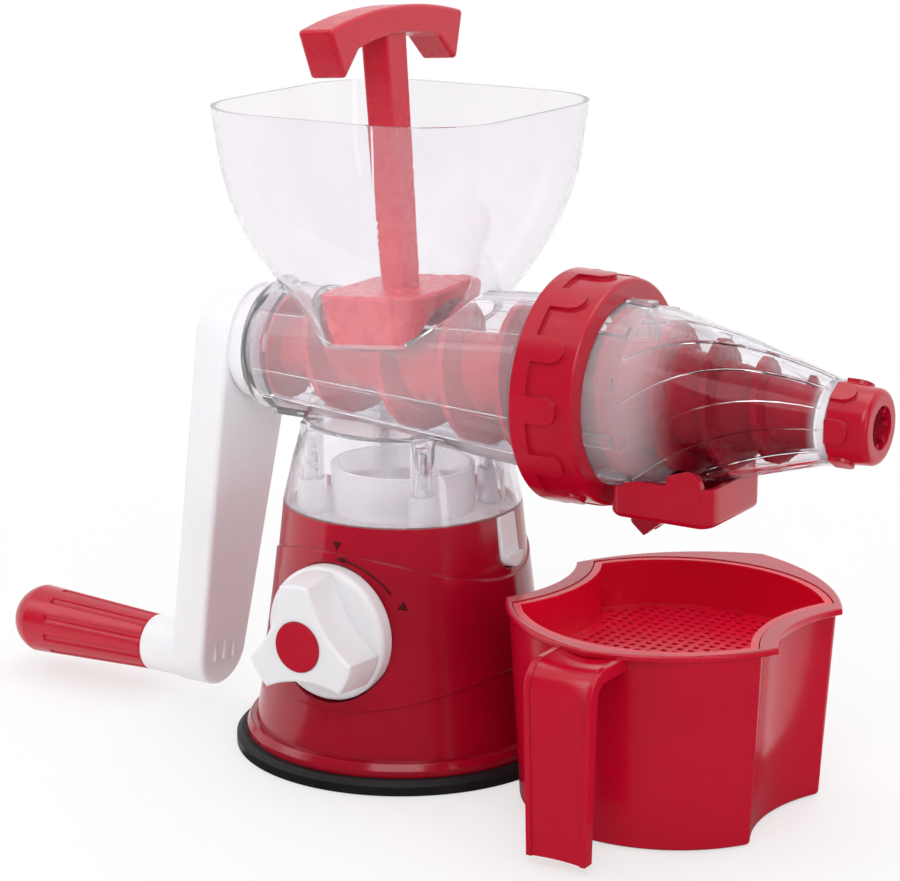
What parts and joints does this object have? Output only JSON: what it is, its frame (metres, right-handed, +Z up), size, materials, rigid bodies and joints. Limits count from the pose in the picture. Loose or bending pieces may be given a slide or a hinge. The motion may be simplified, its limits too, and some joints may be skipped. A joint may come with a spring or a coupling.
{
  "type": "hand-crank juicer mill",
  "caption": "Hand-cranked auger juicer mill on a suction base, with clear hopper and barrel, pusher, locking ring, clear strainer cone, juice spout and a cup with a sieve insert.",
  "frame": {"origin": "centre of the suction pad's underside, on the table", "axes": "+X along the auger from the crank to the pulp outlet, -Y the side with the suction knob, +Z up"},
  "size_m": [0.3863, 0.1601, 0.2871],
  "materials": {
    "red_plastic": "glossy moulded crimson plastic",
    "white_plastic": "satin white plastic, slightly translucent",
    "clear_plastic": "clear polished plastic",
    "black_rubber": "soft black rubber",
    "clear_silicone": "translucent silicone",
    "steel": "plain steel"
  },
  "bodies": {
    "stand": {"base_housing": "red_plastic", "suction_pad": "black_rubber", "base_plate": "red_plastic", "base_plate_screws": "steel", "latch_pin": "steel", "head_housing": "clear_plastic", "adapter_plate": "clear_plastic", "adapter_screws": "steel", "rear_bush": "white_plastic", "shaft_seal": "clear_silicone", "strainer_cone": "clear_plastic", "cone_seal": "clear_silicone", "juice_spout": "red_plastic"},
    "knob": {"suction_knob": "white_plastic", "knob_cap": "red_plastic", "knob_screw": "steel", "cam_shaft": "white_plastic"},
    "plunger": {"suction_plunger": "white_plastic"},
    "latch": {"release_latch": "white_plastic"},
    "crank": {"crank_arm": "white_plastic", "drive_shaft": "steel", "auger": "red_plastic", "crank_screw": "steel", "crank_cap": "white_plastic", "grip_pin": "steel"},
    "grip": {"crank_grip": "red_plastic"},
    "ring": {"lock_ring": "red_plastic"},
    "cap": {"outlet_cap": "red_plastic"},
    "hopper": {"hopper": "clear_plastic"},
    "pusher": {"pusher": "red_plastic"},
    "cup": {"juice_cup": "red_plastic"},
    "sieve": {"sieve": "red_plastic"}
  },
  "joints": [
    {"name": "knob_turn", "type": "hinge", "parent": "stand", "child": "knob", "pos_m": [0, -0.05, 0.057], "axis": [0, 1, 0], "range_deg": [0, 90]},
    {"name": "plunger_lift", "type": "slide", "parent": "stand", "child": "plunger", "axis": [0, 0, 1], "range_m": [0, 0.004]},
    {"name": "latch_press", "type": "hinge", "parent": "stand", "child": "latch", "pos_m": [0.04321, 0, 0.08685], "axis": [0, 1, 0], "range_deg": [0, 7], "stiffness_Nm_per_rad": 0.05},
    {"name": "crank_turn", "type": "hinge", "parent": "stand", "child": "crank", "pos_m": [-0.06, 0, 0.152], "axis": [1, 0, 0], "continuous": true},
    {"name": "grip_spin", "type": "hinge", "parent": "crank", "child": "grip", "pos_m": [-0.15, -0.00894, 0.02081], "axis": [1, 0, 0], "continuous": true},
    {"name": "ring_twist", "type": "hinge", "parent": "stand", "child": "ring", "pos_m": [0.085, 0, 0.152], "axis": [1, 0, 0], "range_deg": [0, 40]},
    {"name": "cap_twist", "type": "hinge", "parent": "stand", "child": "cap", "pos_m": [0.19, 0, 0.152], "axis": [1, 0, 0], "range_deg": [0, 60]},
    {"name": "hopper_lift", "type": "slide", "parent": "stand", "child": "hopper", "axis": [0, 0, 1], "range_m": [0, 0.12]},
    {"name": "pusher_plunge", "type": "slide", "parent": "hopper", "child": "pusher", "axis": [-0.075, 0, 0.9972], "range_m": [0, 0.11]},
    {"name": "cup_slide", "type": "slide", "parent": "stand", "child": "cup", "axis": [1, 0, 0], "range_m": [0, 0.12]},
    {"name": "sieve_lift", "type": "slide", "parent": "cup", "child": "sieve", "axis": [0, 0, 1], "range_m": [0, 0.03]}
  ],
  "couplings": [
    {"joint": "plunger_lift", "follows": "knob_turn", "m_per_rad": 0.002546}
  ]
}
